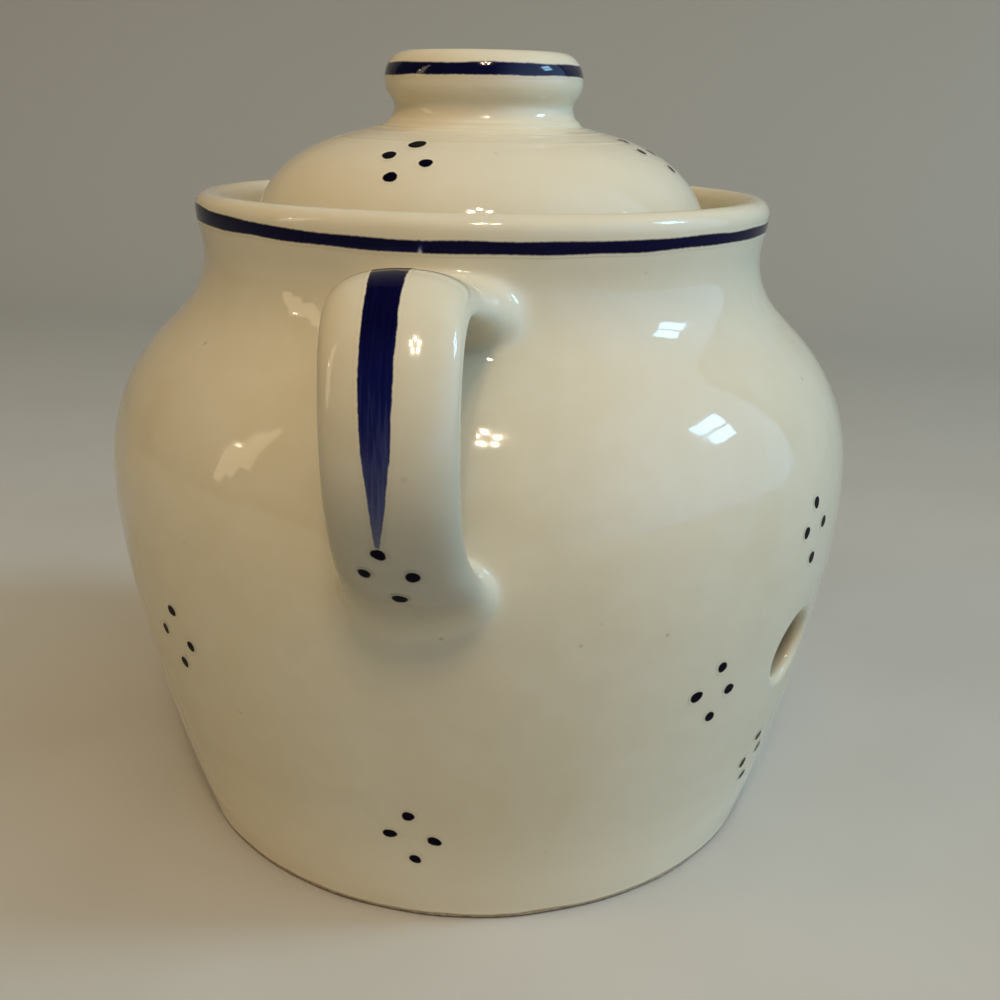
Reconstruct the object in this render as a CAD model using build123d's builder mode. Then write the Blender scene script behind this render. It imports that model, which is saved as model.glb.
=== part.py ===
from build123d import *

import os
from math import cos, copysign, pi, radians, sin

# Garlic keeper in glazed stoneware: a bellied jar with two air vents, a strap handle
# luted to its neck and belly, and a domed lid with a knob, which drops inside the
# flared rim. Millimetres, +Z up. The origin is the middle of the foot, on the plane
# that the jar stands on, and the handle points along +X. Outlines are (radius, height).

# Jar, outside
foot_radius = 53.4
foot_rounding = 1.2
belly_radius = 65.0
belly_height = 60.5
neck_radius = 47.6
neck_height = 100.0
rim_radius = 48.45
rim_height = 110.0
lip_thickness = 4.6
lower_wall_points = [(57.8, 17.0), (62.1, 37.0)]
shoulder_points = [(63.4, 74.2), (56.8, 85.4), (49.4, 93.6)]

# Jar, inside and underneath
wall = 5.0
floor_height = 7.0
floor_flat_radius = 38.0
foot_ring_inner_radius = 46.0
foot_recess_depth = 1.8
mouth_radius = 38.5
mouth_depth = 3.0
ledge_height = 101.0
ledge_rounding = 0.9

# Air vents through the belly
vent_radius = 5.75
vent_height = 41.0
vent_rounding = 1.6
vent_angles = (62.5, 242.5)

# Lid
lid_radius = 42.6
lid_edge_thickness = 3.6
dome_points = [(25.6, 117.8), (32.4, 114.2), (36.2, 110.2), (38.2, 106.6)]
seat_radius = 17.0
seat_height = 120.0
lid_wall = 4.5
dome_hollow_points = [(28.9, 110.2), (23.8, 113.2)]
collar_radius = 37.2
collar_wall = 4.0
collar_depth = 7.0
collar_rounding = 1.2

# Knob
waist_radius = 15.1
waist_height = 123.4
bead_radius = 16.6
bead_height = 127.3
knob_top_radius = 12.9
knob_top_height = 131.7
knob_crown = 0.3

# Strap handle: its centre line as (reach, height) from the neck to the belly, and
# sections as (share of the centre line, width, thickness)
strap_line = [(44.0, 95.0), (54.5, 98.5), (64.0, 100.4), (71.7, 99.8), (76.9, 94.0),
              (77.4, 84.0), (75.0, 74.0), (69.5, 67.3), (60.0, 62.8)]
strap_sections = [(0.0, 22.6, 8.4), (0.1, 20.4, 7.7), (0.2, 18.8, 7.3), (0.36, 17.4, 7.2),
                  (0.55, 16.5, 7.1), (0.74, 16.6, 7.2), (0.86, 17.5, 7.8), (0.94, 18.6, 8.8),
                  (1.0, 19.5, 9.8)]
strap_squareness = 2.3
strap_crown_share = 0.58
strap_section_points = 16
root_fillet = 3.0


def outer_wall(mode=Mode.ADD):
    """Curve of the jar's outside from the foot, over the belly, to the rim."""
    return Spline(
        (foot_radius, foot_rounding),
        *lower_wall_points,
        (belly_radius, belly_height),
        *shoulder_points,
        (neck_radius, neck_height),
        (rim_radius, rim_height - lip_thickness / 2),
        tangents=[(0.3, 1.0), (0.0, 1.0)],
        mode=mode,
    )


def foot_to_rim():
    """Lines of the foot ring's flat, its rounded edge and the outer wall."""
    Line((foot_ring_inner_radius, 0), (foot_radius - foot_rounding, 0))
    RadiusArc((foot_radius - foot_rounding, 0), (foot_radius, foot_rounding), -foot_rounding)
    outer_wall()


def inside_point(share):
    """Point one wall thickness inside the outer wall, at a share of its curve."""
    outside = outer_wall(mode=Mode.PRIVATE)
    upward = outside % share
    return outside @ share + Vector(-upward.Y, upward.X) * wall


def rim_to_floor():
    """Lines of the rounded lip, the ledge for the lid, the mouth and the inner wall."""
    lip_radius = lip_thickness / 2
    rim_inside = rim_radius - lip_thickness
    mouth_bottom = ledge_height - mouth_depth
    ThreePointArc(
        (rim_radius, rim_height - lip_radius),
        (rim_radius - lip_radius, rim_height),
        (rim_inside, rim_height - lip_radius),
    )
    Polyline(
        (rim_inside, rim_height - lip_radius),
        (rim_inside, ledge_height),
        (mouth_radius, ledge_height),
        (mouth_radius, mouth_bottom),
    )
    Spline(
        (mouth_radius, mouth_bottom),
        *[inside_point(share) for share in (0.74, 0.66, 0.58, 0.46, 0.3, 0.16)],
        (floor_flat_radius, floor_height),
        tangents=[(0.0, -1.0), (-1.0, 0.0)],
    )


def is_mouth_edge(edge):
    """True for the edge where the ledge turns down into the mouth."""
    at_ledge = abs(edge.center(CenterOf.BOUNDING_BOX).Z - ledge_height) < 0.01
    return at_ledge and abs(edge.radius - mouth_radius) < 0.01


def vent_plane(angle):
    """Plane on the jar's axis that faces out along one vent."""
    outward = (cos(radians(angle)), sin(radians(angle)), 0)
    return Plane(origin=(0, 0, vent_height), z_dir=outward)


with BuildPart() as jar:
    with BuildSketch(Plane.YZ):
        with BuildLine():
            foot_to_rim()
            rim_to_floor()
            Polyline(
                (floor_flat_radius, floor_height),
                (0, floor_height),
                (0, foot_recess_depth),
                (foot_ring_inner_radius - foot_recess_depth, foot_recess_depth),
                (foot_ring_inner_radius, 0),
            )
        make_face()
    revolve(axis=Axis.Z)
    fillet(jar.edges().filter_by(GeomType.CIRCLE).filter_by(is_mouth_edge), ledge_rounding)
    for angle in vent_angles:
        with BuildSketch(vent_plane(angle)):
            Circle(vent_radius)
        extrude(amount=2 * belly_radius, mode=Mode.SUBTRACT)
        fillet(jar.edges(Select.LAST), vent_rounding)

# The jar's outer form without its hollow, which the handle's roots are shaped against
with BuildPart() as jar_form:
    with BuildSketch(Plane.YZ):
        with BuildLine():
            foot_to_rim()
            Polyline(
                (rim_radius, rim_height - lip_thickness / 2),
                (0, rim_height - lip_thickness / 2),
                (0, 0),
                (foot_ring_inner_radius, 0),
            )
        make_face()
    revolve(axis=Axis.Z)


with BuildLine(Plane.XZ) as strap_path:
    strap_curve = Spline(*strap_line)


def strap_plane(share):
    """Plane across the strap, with local x along its width."""
    return Plane(origin=strap_curve @ share, x_dir=(0, 1, 0), z_dir=strap_curve % share)


def flat_oval(width, thickness):
    """Points round a superellipse whose outer face is crowned more than its inner face."""
    power = 2 / strap_squareness
    for step in range(strap_section_points):
        turn = 2 * pi * step / strap_section_points
        across = copysign(abs(cos(turn)) ** power, cos(turn))
        through = copysign(abs(sin(turn)) ** power, sin(turn))
        share = strap_crown_share if through > 0 else 1 - strap_crown_share
        yield (width / 2 * across, share * thickness * through)


# The strap runs into the jar's form at both ends, the seams are filleted like wiped
# clay, and the form is then taken away, which leaves roots that fit the wall
with BuildPart() as handle:
    for share, width, thickness in strap_sections:
        with BuildSketch(strap_plane(share)):
            with BuildLine():
                Spline(*flat_oval(width, thickness), periodic=True)
            make_face()
    loft()
    add(jar_form.part)
    fillet(handle.edges(Select.NEW), root_fillet)
    add(jar_form.part, mode=Mode.SUBTRACT)


def lid_top():
    """Lines from the knob's seat, over the dome, round the lid's flange to its rest."""
    dome_foot = (lid_radius - 2.0, ledge_height + lid_edge_thickness)
    Line((0, seat_height), (seat_radius, seat_height))
    Spline(
        (seat_radius, seat_height),
        *dome_points,
        dome_foot,
        tangents=[(1.0, -0.22), (1.0, -0.1)],
    )
    ThreePointArc(
        dome_foot,
        (lid_radius, ledge_height + lid_edge_thickness / 2),
        (lid_radius - 1.0, ledge_height),
    )


def lid_underside():
    """Lines of the resting face, the locating collar and the hollow of the dome."""
    hollow_radius = collar_radius - collar_wall
    hollow_top = seat_height - lid_wall
    Polyline(
        (lid_radius - 1.0, ledge_height),
        (collar_radius, ledge_height),
        (collar_radius, ledge_height - collar_depth),
        (hollow_radius, ledge_height - collar_depth),
        (hollow_radius, ledge_height + lid_edge_thickness),
    )
    Spline(
        (hollow_radius, ledge_height + lid_edge_thickness),
        *dome_hollow_points,
        (seat_radius - 1.0, hollow_top),
        tangents=[(0.0, 1.0), (-1.0, 0.0)],
    )
    Polyline((seat_radius - 1.0, hollow_top), (0, hollow_top), (0, seat_height))


def is_collar_edge(edge):
    """True for the two edges at the bottom of the lid's locating collar."""
    bottom = ledge_height - collar_depth
    return abs(edge.center(CenterOf.BOUNDING_BOX).Z - bottom) < 0.01


with BuildPart() as lid:
    with BuildSketch(Plane.YZ):
        with BuildLine():
            lid_top()
            lid_underside()
        make_face()
    revolve(axis=Axis.Z)
    fillet(lid.edges().filter_by(GeomType.CIRCLE).filter_by(is_collar_edge), collar_rounding)

with BuildPart() as lid_knob:
    with BuildSketch(Plane.YZ):
        with BuildLine():
            Line((0, seat_height), (seat_radius, seat_height))
            Spline(
                (seat_radius, seat_height),
                (waist_radius, waist_height),
                (bead_radius, bead_height),
                tangents=[(-1.0, 0.6), (0.0, 1.0)],
            )
            EllipticalCenterArc(
                (knob_top_radius, bead_height),
                bead_radius - knob_top_radius,
                knob_top_height - bead_height,
                arc_size=90,
            )
            Spline(
                (knob_top_radius, knob_top_height),
                (0, knob_top_height + knob_crown),
                tangents=[(-1.0, 0.0), (-1.0, 0.0)],
            )
            Line((0, knob_top_height + knob_crown), (0, seat_height))
        make_face()
    revolve(axis=Axis.Z)

os.makedirs("parts", exist_ok=True)
jar.part.label = "jar"
export_step(jar.part, "parts/jar.step")
handle.part.label = "handle"
export_step(handle.part, "parts/handle.step")
lid.part.label = "lid"
export_step(lid.part, "parts/lid.step")
lid_knob.part.label = "lid_knob"
export_step(lid_knob.part, "parts/lid_knob.step")
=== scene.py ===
from math import cos, pi, radians, sin

import bmesh
import bpy
import numpy as np
from mathutils import Matrix, Vector
from mathutils.bvhtree import BVHTree


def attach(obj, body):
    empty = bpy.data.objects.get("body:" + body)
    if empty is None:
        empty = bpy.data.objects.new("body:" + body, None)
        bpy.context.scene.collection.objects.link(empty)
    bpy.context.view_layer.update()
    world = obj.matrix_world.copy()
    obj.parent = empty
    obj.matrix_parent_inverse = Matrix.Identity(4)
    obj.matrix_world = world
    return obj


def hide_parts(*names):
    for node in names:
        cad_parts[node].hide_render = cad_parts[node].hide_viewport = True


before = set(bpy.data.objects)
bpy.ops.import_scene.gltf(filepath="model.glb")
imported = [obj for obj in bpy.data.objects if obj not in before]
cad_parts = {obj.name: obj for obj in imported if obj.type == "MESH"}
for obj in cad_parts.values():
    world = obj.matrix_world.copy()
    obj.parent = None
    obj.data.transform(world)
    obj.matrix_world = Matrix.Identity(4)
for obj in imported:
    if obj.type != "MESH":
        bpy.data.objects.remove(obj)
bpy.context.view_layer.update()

# The looks of a glazed stoneware garlic keeper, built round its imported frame. Lengths
# are millimetres, and MM turns them into Blender's metres. Outlines are (radius, height)
# on the jar's axis, and angles are degrees from +X, where the handle is.
MM = 0.001

# Jar
FOOT_RADIUS = 53.4
FOOT_ROUNDING = 1.2
BELLY = (65.0, 60.5)
NECK = (47.6, 100.0)
RIM_RADIUS = 48.45
RIM_HEIGHT = 110.0
LIP_RADIUS = 2.3
RIM_SAG = 1.1
LOWER_WALL = [(57.8, 17.0), (62.1, 37.0)]
SHOULDER = [(63.4, 74.2), (56.8, 85.4), (49.4, 93.6)]
WALL = 5.0
FLOOR_HEIGHT = 7.0
FLOOR_RADIUS = 38.0
FOOT_RING_RADIUS = 46.0
FOOT_RECESS = 1.8
MOUTH_RADIUS = 38.5
MOUTH_DEPTH = 3.0
LEDGE_HEIGHT = 101.0
LEDGE_ROUNDING = 0.9
INSIDE_SHARES = (0.74, 0.66, 0.58, 0.46, 0.3, 0.16)
SMALL_ROUND = 0.8

# Vents
VENT_RADIUS = 5.75
VENT_HEIGHT = 41.0
VENT_ROUNDING = 1.6
VENT_ANGLES = (62.5, 242.5)

# Strap handle: centre line as (reach, height), sections as (share, width, thickness)
STRAP_LINE = [(44.0, 95.0), (54.5, 98.5), (64.0, 100.4), (71.7, 99.8), (76.9, 94.0),
              (77.4, 84.0), (75.1, 74.0), (69.8, 67.1), (60.0, 62.6)]
STRAP_SECTIONS = [(0.0, 22.6, 8.4), (0.1, 20.4, 7.7), (0.2, 18.8, 7.3), (0.36, 17.4, 7.2),
                  (0.55, 16.5, 7.1), (0.74, 16.6, 7.2), (0.86, 17.5, 7.8), (0.94, 18.6, 8.8),
                  (1.0, 19.5, 9.8)]
STRAP_SQUARENESS = 2.2
STRAP_CROWN = 0.58
STRAP_LEAN = (-0.45, 0.4)
STRAP_FLARE = 2.2

# Lid and knob
LID_RADIUS = 42.6
LID_EDGE = 3.6
DOME = [(25.6, 117.8), (32.4, 114.2), (36.2, 110.2), (38.2, 106.6)]
DOME_HOLLOW = [(28.9, 110.2), (23.8, 113.2)]
SEAT = (17.0, 120.0)
LID_WALL = 4.5
COLLAR_RADIUS = 37.2
COLLAR_WALL = 4.0
COLLAR_DEPTH = 7.0
COLLAR_ROUNDING = 1.2
WAIST = (15.1, 123.4)
BEAD = (16.6, 127.3)
KNOB_TOP = (12.9, 131.7)
KNOB_CROWN = 0.3
LID_SHIFT = (-0.15, -0.5)

# Mesh spacing: columns round the axis, and rows up the wall that meet the vents' centres
COLUMNS = 288
COLUMN_ANGLE = 360 / COLUMNS
ROW_STEP = 1.25
WALL_LEVELS = VENT_HEIGHT + ROW_STEP * np.arange(-31, 54)
INSIDE_LEVELS = VENT_HEIGHT + ROW_STEP * np.arange(45, -21, -1)

# Paint lies this far out of the glaze under it
PAINT_LIFT = 0.04


# -------- curves

UP = np.array([0, 0, 1.0])


def facing(angle):
    """The direction out from the axis at an angle in degrees, and the one to its left."""
    turn = radians(angle)
    return np.array([cos(turn), sin(turn), 0]), np.array([-sin(turn), cos(turn), 0])


def round_axis(radius, turn, height):
    """Points round the axis at a radius, an angle in radians and a height."""
    parts = np.broadcast_arrays(radius * np.cos(turn), radius * np.sin(turn), height)
    return np.stack(parts, axis=-1)


def smooth_step(value, low, high):
    """0 below the low limit, 1 above the high one, and a soft step between them."""
    t = np.clip((value - low) / (high - low), 0, 1)
    return t * t * (3 - 2 * t)


def way_along(points):
    """How far along a line each of its points is."""
    steps = np.linalg.norm(np.diff(points, axis=0), axis=1)
    return np.concatenate([[0], np.cumsum(steps)])


def unit(vectors):
    """Rows of vectors, each at length one."""
    return vectors / np.linalg.norm(vectors, axis=1)[:, None]


def polynomial_slope(at, times, values):
    """Slope at a time of the polynomial through the values at their times."""
    return np.polyfit(times - at, values, len(times) - 1)[-2]


def smooth_curve(points, start=None, end=None, count=600, times=None):
    """Samples of the smooth curve through the points that CAD draws, with its end
    directions if they are given. The times are by chord length unless given."""
    knots = np.array(points, float)
    if times is None:
        times = way_along(knots)
    steps = np.diff(times)
    last = len(knots) - 1
    weights = np.zeros((last + 1, last + 1))
    known = np.zeros_like(knots)
    for i in range(1, last):
        before, after = steps[i - 1], steps[i]
        weights[i, i - 1:i + 2] = after, 2 * (before + after), before
        known[i] = 3 * after / before * (knots[i] - knots[i - 1])
        known[i] += 3 * before / after * (knots[i + 1] - knots[i])
    for row, near, direction in ((0, slice(4), start), (last, slice(-4, None), end)):
        weights[row, row] = 1
        if direction is None:
            known[row] = polynomial_slope(times[row], times[near], knots[near])
        else:
            speed = abs(polynomial_slope(times[row], times[:3], knots[:3])).sum()
            known[row] = np.array(direction, float) * speed / abs(np.array(direction)).sum()
    slopes = np.linalg.solve(weights, known)
    at = np.linspace(times[0], times[-1], count)
    span = np.clip(np.searchsorted(times, at, side="right") - 1, 0, last - 1)
    step = steps[span][:, None]
    t = (at - times[span])[:, None] / step
    return (
        (1 + 2 * t) * (1 - t) ** 2 * knots[span]
        + t * (1 - t) ** 2 * step * slopes[span]
        + t ** 2 * (3 - 2 * t) * knots[span + 1]
        + t ** 2 * (t - 1) * step * slopes[span + 1]
    )


def arc(centre, size, start, end, count):
    """Points on part of a circle or an ellipse, with its ends. The size is one radius or
    a pair."""
    wide, tall = np.broadcast_to(size, 2)
    turns = np.radians(np.linspace(start, end, count))
    return [(centre[0] + wide * cos(a), centre[1] + tall * sin(a)) for a in turns]


def arc_through(start, middle, end, count):
    """Points on the circular arc from start over middle to end, with its ends."""
    rows = 2 * (np.array([middle, end]) - start)
    squares = np.sum(np.square([middle, end]), axis=1) - np.sum(np.square(start))
    centre = np.linalg.solve(rows, squares)
    ends = np.array([start, end]) - centre
    first, last = np.degrees(np.arctan2(ends[:, 1], ends[:, 0]))
    turn = (last - first + 180) % 360 - 180
    return arc(centre, np.hypot(*ends[0]), first, first + turn, count)


def between(start, end, count):
    """Evenly spaced points between two points, without the two."""
    return [tuple(p) for p in np.linspace(start, end, count + 2)[1:-1]]


wall_curve = smooth_curve(
    [(FOOT_RADIUS, FOOT_ROUNDING), *LOWER_WALL, BELLY, *SHOULDER, NECK,
     (RIM_RADIUS, RIM_HEIGHT - LIP_RADIUS)],
    start=(0.3, 1.0), end=(0.0, 1.0), count=3001,
)
wall_run = way_along(wall_curve)


def wall_radius(height):
    """Radius of the jar's outside at a height."""
    return np.interp(height, wall_curve[:, 1], wall_curve[:, 0])


def inside_point(share):
    """Point one wall thickness inside the outer wall, at a share of its curve."""
    at = round(share * (len(wall_curve) - 1))
    up = wall_curve[at + 1] - wall_curve[at - 1]
    up /= np.linalg.norm(up)
    return wall_curve[at] + WALL * np.array([-up[1], up[0]])


inside_curve = smooth_curve(
    [(MOUTH_RADIUS, LEDGE_HEIGHT - MOUTH_DEPTH), *map(inside_point, INSIDE_SHARES),
     (FLOOR_RADIUS, FLOOR_HEIGHT)],
    start=(0.0, -1.0), end=(-1.0, 0.0), count=2001,
)


def inside_radius(height):
    """Radius of the jar's inside at a height."""
    return np.interp(height, inside_curve[::-1, 1], inside_curve[::-1, 0])


def wall_point(turn, run):
    """Point on the jar's outside at an angle in radians and a way up its outline."""
    radius, height = (np.interp(run, wall_run, values) for values in wall_curve.T)
    return round_axis(radius, turn, height)


def hand_made(points):
    """The slight unevenness of a thrown and fired jar, the same for all that it carries."""
    out = np.array(points, float)
    turn = np.arctan2(out[:, 1], out[:, 0])
    height = out[:, 2]
    grow = 1 + 0.0011 * np.sin(2 * turn + 0.7 + 0.012 * height)
    grow += 0.0006 * np.sin(3 * turn - 1.1 + 0.035 * height)
    grow += 0.0003 * np.sin(5 * turn + 0.4 - 0.06 * height)
    foot = np.clip(1 - height / 5, 0, 1) ** 2
    grow += foot * (0.0016 * np.sin(7 * turn + 1.3) + 0.0012 * np.sin(12 * turn - 0.4))
    grow += foot * 0.0010 * np.sin(23 * turn + 2.0)
    out[:, :2] *= grow[:, None]
    return out


# -------- meshes

class Skin:
    """Points and faces of one piece in millimetres, grown loop by loop."""

    def __init__(self):
        self.points = []
        self.faces = []
        self.marks = {}

    def loop(self, points, **marks):
        """Adds a loop of points, each with the numbers that are given as marks."""
        first = len(self.points)
        self.points.extend(tuple(map(float, p)) for p in points)
        for name, value in marks.items():
            self.marks.setdefault(name, []).extend([value] * len(points))
        return list(range(first, len(self.points)))

    def bridge(self, one, other, closed=True, skipped=()):
        """Quads between two loops of as many points, apart from the skipped ones."""
        for i in range(len(one) if closed else len(one) - 1):
            if i not in skipped:
                j = (i + 1) % len(one)
                self.faces.append((one[i], one[j], other[j], other[i]))

    def grow(self, loop, rings):
        """Bridges a loop to one ring of points after another, and gives the last loop."""
        for points in rings:
            grown = self.loop(points)
            self.bridge(loop, grown)
            loop = grown
        return loop

    def fan(self, loop, centre, **marks):
        """Triangles from a loop to a point in its middle."""
        middle = self.loop([centre], **marks)[0]
        for i, number in enumerate(loop):
            self.faces.append((number, loop[(i + 1) % len(loop)], middle))

    def tree(self):
        """Search tree of the faces, in millimetres."""
        return BVHTree.FromPolygons(self.points, self.faces)


def add_object(name, data):
    """A new object in the scene."""
    made = bpy.data.objects.new(name, data)
    bpy.context.scene.collection.objects.link(made)
    return made


def make_piece(name, skin, body, material, nodes=()):
    """Mesh object of a skin, riding on a body and standing for CAD nodes."""
    mesh = bpy.data.meshes.new(name)
    mesh.from_pydata([[x * MM for x in p] for p in skin.points], [], skin.faces)
    for mark, values in skin.marks.items():
        mesh.attributes.new(mark, "FLOAT", "POINT").data.foreach_set("value", values)
    shape = bmesh.new()
    shape.from_mesh(mesh)
    bmesh.ops.delete(shape, geom=[v for v in shape.verts if not v.link_faces], context="VERTS")
    bmesh.ops.recalc_face_normals(shape, faces=shape.faces)
    shape.to_mesh(mesh)
    shape.free()
    mesh.shade_smooth()
    mesh.materials.append(material)
    piece = add_object(name, mesh)
    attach(piece, body)
    if nodes:
        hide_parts(*nodes)


def revolved(skin, outline, windows=()):
    """Rows of an outline turned round the axis, closed at both poles. Each window is
    (row, column, rows, columns) of half a block of faces that is left open."""
    turns = np.radians(COLUMN_ANGLE * np.arange(COLUMNS))
    rows = [skin.loop(round_axis(radius, turns, height)) for radius, height in outline[1:-1]]
    for i in range(len(rows) - 1):
        skipped = {
            column % COLUMNS
            for row, middle, tall, wide in windows if row - tall <= i < row + tall
            for column in range(middle - wide, middle + wide)
        }
        skin.bridge(rows[i], rows[i + 1], skipped=skipped)
    for end, pole in ((rows[0], outline[0]), (rows[-1], outline[-1])):
        skin.fan(end, (0, 0, pole[1]))
    return rows


def window_steps(tall, wide):
    """Steps (column, row) round a window from its right, first up, then left."""
    steps = [(wide, row) for row in range(-tall, tall)]
    steps += [(column, tall) for column in range(wide, -wide, -1)]
    steps += [(-wide, row) for row in range(tall, -tall, -1)]
    steps += [(column, -tall) for column in range(-wide, wide)]
    return steps[tall:] + steps[:tall]


def bezier(a, b, c, d, t):
    """Cubic curve through arrays of end and control points."""
    s = 1 - t
    return s ** 3 * a + 3 * s * s * t * b + 3 * s * t * t * c + t ** 3 * d


# -------- jar

def jar_outline():
    """The jar's outline from under its foot, up the outside, over the lip and down inside.
    Also gives the numbers of the first outside row and the first inside row, counted
    without the outline's first point, which is a pole."""
    recess_edge = FOOT_RING_RADIUS - FOOT_RECESS
    under = [(0, FOOT_RECESS)] + [(r, FOOT_RECESS) for r in (4, 12, 20, 28, 36, recess_edge - 2)]
    under += arc((recess_edge - 0.6, FOOT_RECESS - SMALL_ROUND), SMALL_ROUND, 90, 45, 4)
    under += arc((FOOT_RING_RADIUS + 0.5, SMALL_ROUND), SMALL_ROUND, 225, 270, 4)
    foot_flat = FOOT_RADIUS - FOOT_ROUNDING
    under += between((FOOT_RING_RADIUS + 0.5, 0), (foot_flat, 0), 5)
    under += arc((foot_flat, FOOT_ROUNDING), FOOT_ROUNDING, 270, 360, 6)
    outside = [(wall_radius(z), z) for z in WALL_LEVELS]
    lip_height = RIM_HEIGHT - LIP_RADIUS
    lip = arc((RIM_RADIUS - LIP_RADIUS, lip_height), LIP_RADIUS, 0, 180, 17)
    rim_inside = RIM_RADIUS - 2 * LIP_RADIUS
    seat_round = (rim_inside - SMALL_ROUND, LEDGE_HEIGHT + SMALL_ROUND)
    seat = between((rim_inside, lip_height), (rim_inside, seat_round[1]), 4)
    seat += arc(seat_round, SMALL_ROUND, 0, -90, 5)
    ledge_end = MOUTH_RADIUS + LEDGE_ROUNDING
    seat += between((seat_round[0], LEDGE_HEIGHT), (ledge_end, LEDGE_HEIGHT), 3)
    seat += arc((ledge_end, LEDGE_HEIGHT - LEDGE_ROUNDING), LEDGE_ROUNDING, 90, 180, 6)
    seat += [(MOUTH_RADIUS, LEDGE_HEIGHT - 2.0), (MOUTH_RADIUS, LEDGE_HEIGHT - MOUTH_DEPTH)]
    inside = [(inside_radius(z), z) for z in INSIDE_LEVELS]
    bend = inside_curve[inside_curve[:, 1] < INSIDE_LEVELS[-1] - 0.5]
    inside += [tuple(p) for p in bend[::60]]
    floor = [(r, FLOOR_HEIGHT) for r in (36, 30, 24, 18, 12, 6, 2, 0)]
    above = under + outside + lip + seat
    return above + inside + floor, len(under) - 1, len(above) - 1


def nearest_row(levels, height):
    """Number of the row whose level is nearest to a height."""
    return int(np.argmin(abs(levels - height)))


# Half the rows and columns that a vent leaves open in the wall, and the same for the
# strap's roots after the height of each
VENT_WINDOW = (8, 8)
ROOT_TOP = (96.0, 8, 20)
ROOT_BOTTOM = (61.0, 13, 15)
# Pull of the control points that makes a cubic curve a quarter of a circle
ROUND_PULL = 0.5523


def vent_walls(skin, angle, outer, inner):
    """A vent: the wall round it inside and out, its rounded edges and its tunnel."""
    steps = np.array(window_steps(*VENT_WINDOW), float)
    out, side = facing(angle)
    across = np.radians(COLUMN_ANGLE * steps[:, 0])
    up = ROW_STEP * steps[:, 1]

    def on_wall(radius_at, away, turns):
        u, height = away * np.cos(turns), VENT_HEIGHT + away * np.sin(turns)
        reach = np.sqrt(radius_at(height) ** 2 - u ** 2)
        return reach[:, None] * out + u[:, None] * side + height[:, None] * UP

    def edge_rings(radius_at, into):
        """Rings from the window to the tunnel's straight part; into is the way in."""
        u = radius_at(VENT_HEIGHT + up) * np.sin(across)
        turns = np.arctan2(up, u)
        bore = VENT_RADIUS * (1 + 0.012 * np.sin(2 * turns + angle) + 0.008 * np.sin(3 * turns))
        wide = bore + VENT_ROUNDING
        away = np.hypot(u, up)
        rings = [on_wall(radius_at, away + t * (wide - away), turns)
                 for t in np.linspace(0, 1, 7)[1:]]
        corner = on_wall(radius_at, bore, turns)
        start, end = rings[-1], corner + VENT_ROUNDING * into * out
        pulls = start + ROUND_PULL * (corner - start), end + ROUND_PULL * (corner - end)
        return rings + [bezier(start, *pulls, end, t) for t in np.linspace(0, 1, 8)[1:]]

    outside = edge_rings(wall_radius, -1)
    inside = edge_rings(inside_radius, 1)
    middle = [(outside[-1] + inside[-1]) / 2]
    skin.bridge(skin.grow(outer, outside + middle + inside[::-1]), inner)


# -------- strap handle

strap_curve = smooth_curve(STRAP_LINE, count=1201)
strap_tangents = unit(np.gradient(strap_curve, axis=0))
section_rows = [round(share * 1200) for share, _, _ in STRAP_SECTIONS]
section_times = way_along(strap_curve[section_rows])
section_times /= section_times[-1]
section_blend = smooth_curve(np.eye(len(STRAP_SECTIONS)), count=1201, times=section_times)


def strap_points(share, turn):
    """Points on the strap's surface, at shares of its length and turns round its
    section. It runs smoothly through its sections, like the CAD loft."""
    share, turn = np.broadcast_arrays(share, turn)
    at = np.linspace(0, 1, len(section_blend))
    power = 2 / STRAP_SQUARENESS
    across = np.sign(np.cos(turn)) * np.abs(np.cos(turn)) ** power
    through = np.sign(np.sin(turn)) * np.abs(np.sin(turn)) ** power
    right_outside = np.clip(across, 0, 1) * (0.5 + 0.5 * through)
    through *= np.where(through > 0, STRAP_CROWN, 1 - STRAP_CROWN)
    points = np.zeros((*turn.shape, 3))
    first_lean, last_lean = STRAP_LEAN
    points[..., 1] = first_lean + (last_lean - first_lean) * smooth_step(share, 0.3, 0.6)
    points[..., 1] += STRAP_FLARE * smooth_step(share, 0.76, 0.90) * right_outside
    for i, (_, wide, thick) in enumerate(STRAP_SECTIONS):
        x, z = strap_curve[section_rows[i]]
        tx, tz = strap_tangents[section_rows[i]]
        weight = np.interp(share, at, section_blend[:, i])
        section = (x - tz * thick * through, wide / 2 * across, z + tx * thick * through)
        points += weight[..., None] * np.stack(section, axis=-1)
    return points


def section_turns(shares):
    """Turns round the strap's section that divide its girth at the given shares."""
    turns = np.linspace(0, 2 * pi, 2881)
    along = way_along(strap_points(0.5, turns))
    return np.interp(shares, along / along[-1], turns)


# Pull of the control points of the wiped clay's curve
CLAY_PULL = 0.52


def shares_at_wall(first, last, turns):
    """Share of the strap at which each of its long lines comes out of the wall."""
    shares = np.linspace(first, last, 600)
    lines = strap_points(shares, turns[:, None])
    outside = np.hypot(lines[..., 0], lines[..., 1]) - wall_radius(lines[..., 2])
    at = np.argmax(outside > 0, axis=1)
    each = np.arange(len(at))
    before, after = outside[each, at - 1], outside[each, at]
    return shares[at - 1] - before / (after - before) * (shares[at] - shares[at - 1])


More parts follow.
